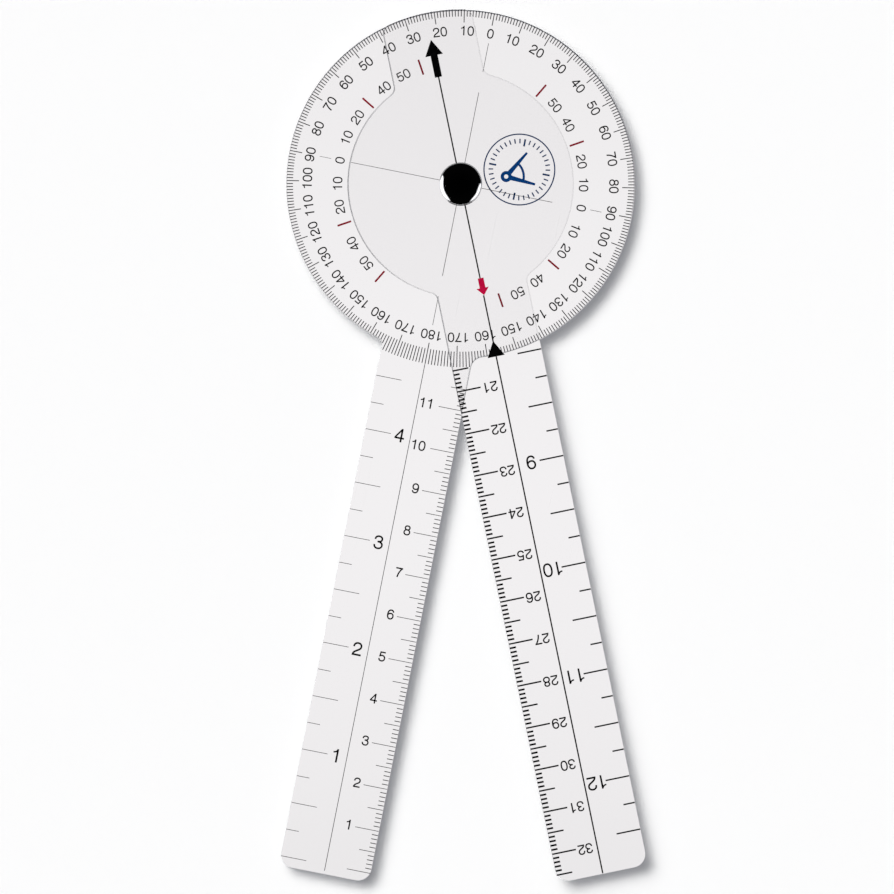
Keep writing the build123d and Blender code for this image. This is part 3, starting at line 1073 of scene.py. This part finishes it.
def floor_material():
    """Pale seamless paper, slightly self-lit. Seen through the clear sheets it shows painted light
    instead, free of shadow and graded down the view, with a painted reflection for the rivet's rim.
    """
    net = new_material("studio_paper")
    position = net.geo["Position"]
    grain = net.noise(700.0, detail=3.0, rough=0.6, vector=position)
    bump = net.bump(grain, strength=0.05, distance=0.00005)
    lit = net.add("BsdfDiffuse", {"Color": (0.90, 0.90, 0.90, 1), "Normal": bump})
    fill = net.emission((0.955, 0.975, 1.04, 1), 0.224)
    paper = net.add("AddShader", {0: lit, 1: fill})
    # painted light: brightness through the sheets, by distance down the view
    down = net.dot(position, -UP)
    level = net.plus(net.ramp(down, over=(-0.05, 0.06), to=(0.890, 0.929)),
                     net.ramp(down, over=(0.07, 0.18), to=(0.0, -0.060)))
    level = net.plus(level, net.ramp(down, over=(0.135, 0.160), to=(0.0, -0.013)))
    rim = rim_level(net)
    # the rivet's metal sees a painted reflection in the floor close by
    from_metal = net.above(net.path["Glossy Depth"], 0.5)
    near_rivet = net.below(net.path["Ray Length"], 0.05)
    level = net.add("Mix", {0: net.times(from_metal, near_rivet), 2: level, 3: rim})
    # painted light seen through the sheets, in place of the floor's own lighting
    glow = net.emission((1.0, 0.984, 0.9925, 1), level)
    through = net.greatest(net.path["Is Transmission Ray"], net.path["Is Glossy Ray"])
    through = net.times(through, net.below(net.path["Diffuse Depth"], 0.5))
    surface = net.mix(through, paper, glow)
    # a camera below the table looks through it
    clear = net.add("BsdfTransparent", {"Color": (1, 1, 1, 1)})
    return net.finish(net.mix(net.geo["Backfacing"], surface, clear))


FLOOR_HALF, FLOOR_Z = 6.0, -0.00002
mesh = bpy.data.meshes.new("studio_floor")
work = bmesh.new()
work.faces.new([work.verts.new((x * FLOOR_HALF, y * FLOOR_HALF, FLOOR_Z))
                for x, y in ((-1, -1), (1, -1), (1, 1), (-1, 1))])
work.to_mesh(mesh)
work.free()
floor = bpy.data.objects.new("studio_floor", mesh)
bpy.context.scene.collection.objects.link(floor)
mesh.materials.append(floor_material())

# Key: a broad soft light from the view's upper left. It is a bank of 19 small suns, spread so
# that every point of the object throws a round, evenly blurred shadow. Position in the bank is
# the sideways run of the light per unit of height.
BANK_ANGLE = math.radians(43)
BANK_CENTRE = 1.07 * (-math.sin(BANK_ANGLE) * RIGHT + math.cos(BANK_ANGLE) * UP)
BANK_SPREAD = 0.42
BANK_ENERGY = 2.52
cells = [(0.0, 0.0, 0.096)]  # across, up, weight
for count, reach in ((6, 0.35), (12, 0.70)):
    for k in range(count):
        angle = 2 * math.pi * (k + 0.25 * (count > 6)) / count
        weight = 0.128 * math.exp(-((reach / BANK_SPREAD) ** 2) / 2)
        cells.append((reach * math.cos(angle), reach * math.sin(angle), weight))
total = sum(cell[2] for cell in cells)
for k, (x, y, weight) in enumerate(cells):
    run = BANK_CENTRE + x * RIGHT + y * UP
    to_light = Vector((run.x, run.y, 1.0)).normalized()
    data = bpy.data.lights.new("key_light_%02d" % k, "SUN")
    data.energy = BANK_ENERGY * weight / total / to_light.z
    data.color = (1.0, 0.993, 0.975)
    data.angle = math.radians(13)
    sun = bpy.data.objects.new(data.name, data)
    bpy.context.scene.collection.objects.link(sun)
    sun.rotation_mode = "QUATERNION"
    sun.rotation_quaternion = to_light.to_track_quat("Z", "Y")
    sun.visible_glossy = False
    sun.visible_transmission = False


def light_world(world):
    """The room: dim, with two curved panels that only the rivet mirrors."""
    net = Net(world)
    direction = net.coords["Generated"]
    x, y, z = (net.dot(direction, axis) for axis in (RIGHT, UP, UPRIGHT))
    azimuth = net.math("ARCTAN2", x, y)
    # radius, in millimetres, where the rivet's crown mirrors this direction to the camera
    mirror = net.math("SQRT", net.times(net.one_minus(z), CROWN_R**2 / 2))

    def softbox(deg, half, inner, spread):
        """A curved panel that shows in the crown as a crescent with drawn-out tips."""
        part = net.math("DIVIDE", gap(net, azimuth, deg), half)
        start = net.math("MULTIPLY_ADD", net.math("POWER", part, 4.0), spread, inner)
        return net.times(net.ramp(net.math("SUBTRACT", mirror, start), over=(-0.06, 0.09)),
                         net.ramp(part, over=(1.04, 0.96)))

    # dark below the crescents
    foot = net.times(net.ramp(gap(net, azimuth, 180), over=(45, 38)),
                     net.ramp(mirror, over=(4.46, 4.54)))
    left = net.times(softbox(-108, half=45, inner=4.07, spread=0.36), 1.7)
    # dark outside the left one's upper tip
    tip = net.times(net.ramp(gap(net, azimuth, -60), over=(20, 13)),
                    net.ramp(mirror, over=(4.62, 4.78)))
    left = net.times(left, net.one_minus(tip))
    right = net.times(softbox(120.5, half=35, inner=4.13, spread=0.30),
                      net.ramp(mirror, over=(4.62, 5.2), to=(1.7, 0.5)))
    panels = net.times(net.plus(left, right), net.one_minus(foot))
    top = net.times(net.ramp(gap(net, azimuth, 5), over=(92, 60)),
                    net.ramp(mirror, over=(4.9, 6.0), to=(0.0, 0.10)))
    base = net.ramp(z, over=(0.70, 1.0), to=(0.0010, 0.0003))
    studio = net.plus(panels, net.plus(top, base))
    mirrored = net.add("CombineColor", {"Red": studio, "Green": studio,
                                        "Blue": net.times(studio, 1.02)})
    dim = (0.05, 0.05, 0.052, 1)
    color = net.mix_color(net.path["Is Glossy Ray"], dim, mirrored)
    seen = net.greatest(net.path["Is Camera Ray"], net.path["Is Transmission Ray"])
    color = net.mix_color(seen, color, (0.98, 0.98, 0.98, 1))
    bounced = net.above(net.path["Diffuse Depth"], 0.5)
    color = net.mix_color(bounced, color, dim)
    net.finish(net.add("Background", {"Color": color, "Strength": 1.0}), "OutputWorld")


scene = bpy.context.scene
scene.world = bpy.data.worlds.new("studio")
light_world(scene.world)
scene.view_settings.view_transform = "Standard"
scene.view_settings.look = "None"
scene.view_settings.exposure = 0.0
scene.view_settings.gamma = 1.0

# straight-down view through a long lens
SENSOR = 36.0
VIEW_WIDTH = 0.2086  # at the dial's top
CAMERA_HEIGHT = 1.6
lens = bpy.data.cameras.new("camera")
lens.sensor_width = SENSOR
lens.lens = SENSOR * (CAMERA_HEIGHT - DIAL_TOP * MM) / VIEW_WIDTH
lens.clip_start, lens.clip_end = 0.05, 20.0
camera = bpy.data.objects.new("camera", lens)
scene.collection.objects.link(camera)
target = -0.0031785 * RIGHT - 0.06132 * UP
camera.location = (target.x, target.y, CAMERA_HEIGHT)
camera.rotation_euler = (0.0, 0.0, ROLL)
scene.camera = camera
